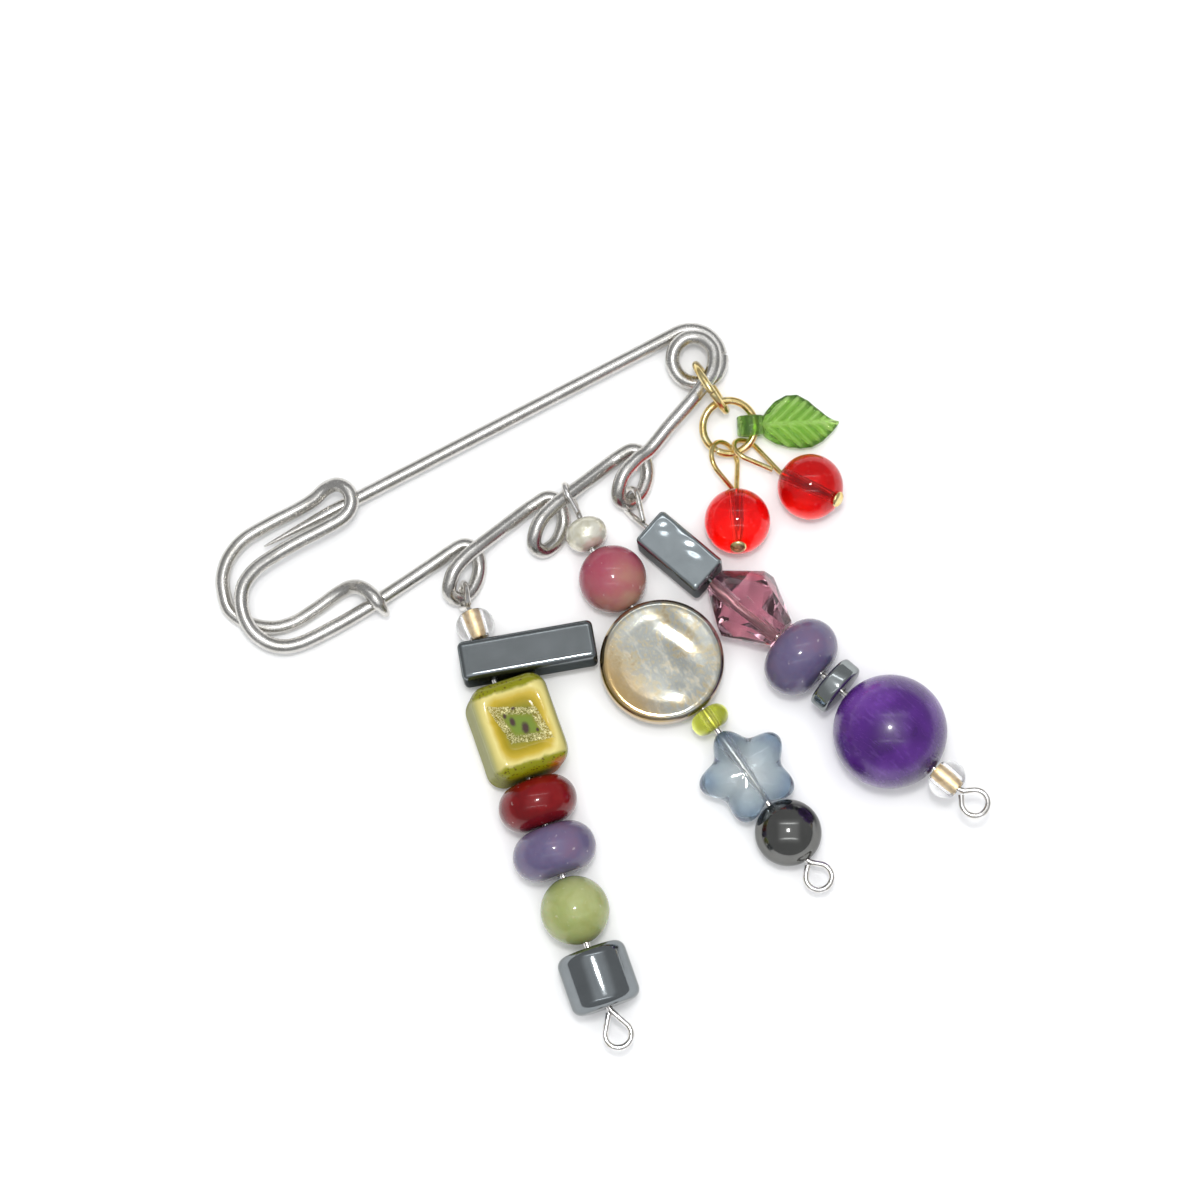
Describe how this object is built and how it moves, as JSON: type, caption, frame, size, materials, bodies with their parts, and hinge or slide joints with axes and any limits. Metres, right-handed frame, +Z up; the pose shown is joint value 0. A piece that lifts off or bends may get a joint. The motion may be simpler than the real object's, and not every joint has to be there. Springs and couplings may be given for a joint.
{
  "type": "beaded kilt pin brooch",
  "caption": "Bent-wire kilt pin brooch with strings of assorted beads on its front loops and a leaf and cherry charm on its coil; the sprung needle opens at the coil.",
  "frame": {"origin": "middle of the brooch's box, at the level of the surface that it lies on", "axes": "+Z up from the surface, out of the brooch's face; the needle runs along X with its point towards -X; the strings hang towards -Y"},
  "size_m": [0.0746, 0.075, 0.0131],
  "materials": {
    "steel_wire": "polished nickel-plated steel wire",
    "string_wire": "silvery soft wire",
    "clear_glass": "frosted clear glass",
    "gold_lining": "gold-coloured lining",
    "hematite": "polished hematite",
    "glazed_ceramic": "crackle glaze, cream over olive green",
    "red_glaze": "glossy dark red",
    "violet_glaze": "glossy grey violet",
    "pale_green": "polished pale green",
    "silver_pearl": "champagne pearl",
    "pink_stone": "polished raspberry pink",
    "aged_silver": "satin silver with tarnish",
    "lime_glass": "transparent lime",
    "steel_blue_glass": "pale steel-blue glass",
    "plum_glass": "transparent plum",
    "amethyst": "deep purple, translucent",
    "gold_wire": "pale gold-coloured wire",
    "leaf_glass": "transparent green",
    "cherry_glass": "transparent red"
  },
  "bodies": {
    "pin_frame": {"pin_frame": "steel_wire", "dangle_1_wire": "string_wire", "gold_lined_bead_1": "clear_glass", "gold_lining_1": "gold_lining", "hematite_bar": "hematite", "ceramic_square": "glazed_ceramic", "red_rondelle": "red_glaze", "violet_rondelle_1": "violet_glaze", "green_round": "pale_green", "hematite_barrel": "hematite", "dangle_2_wire": "string_wire", "silver_bead": "silver_pearl", "pink_round": "pink_stone", "silver_disc": "aged_silver", "lime_bead": "lime_glass", "glass_star": "steel_blue_glass", "hematite_round": "hematite", "dangle_3_wire": "string_wire", "hematite_block": "hematite", "plum_crystal": "plum_glass", "violet_rondelle_2": "violet_glaze", "hematite_spacer": "hematite", "amethyst_round": "amethyst", "gold_lined_bead_2": "clear_glass", "gold_lining_2": "gold_lining", "coil_ring": "gold_wire", "charm_ring": "gold_wire", "glass_leaf": "leaf_glass", "cherry_pin_1": "gold_wire", "cherry_bead_1": "cherry_glass", "cherry_pin_2": "gold_wire", "cherry_bead_2": "cherry_glass"},
    "needle": {"needle": "steel_wire"}
  },
  "joints": [
    {"name": "needle_open", "type": "hinge", "parent": "pin_frame", "child": "needle", "pos_m": [0.0254, 0.03052, 0.0024], "axis": [0, 0, 1], "range_deg": [0, 8], "stiffness_Nm_per_rad": 0.01}
  ]
}
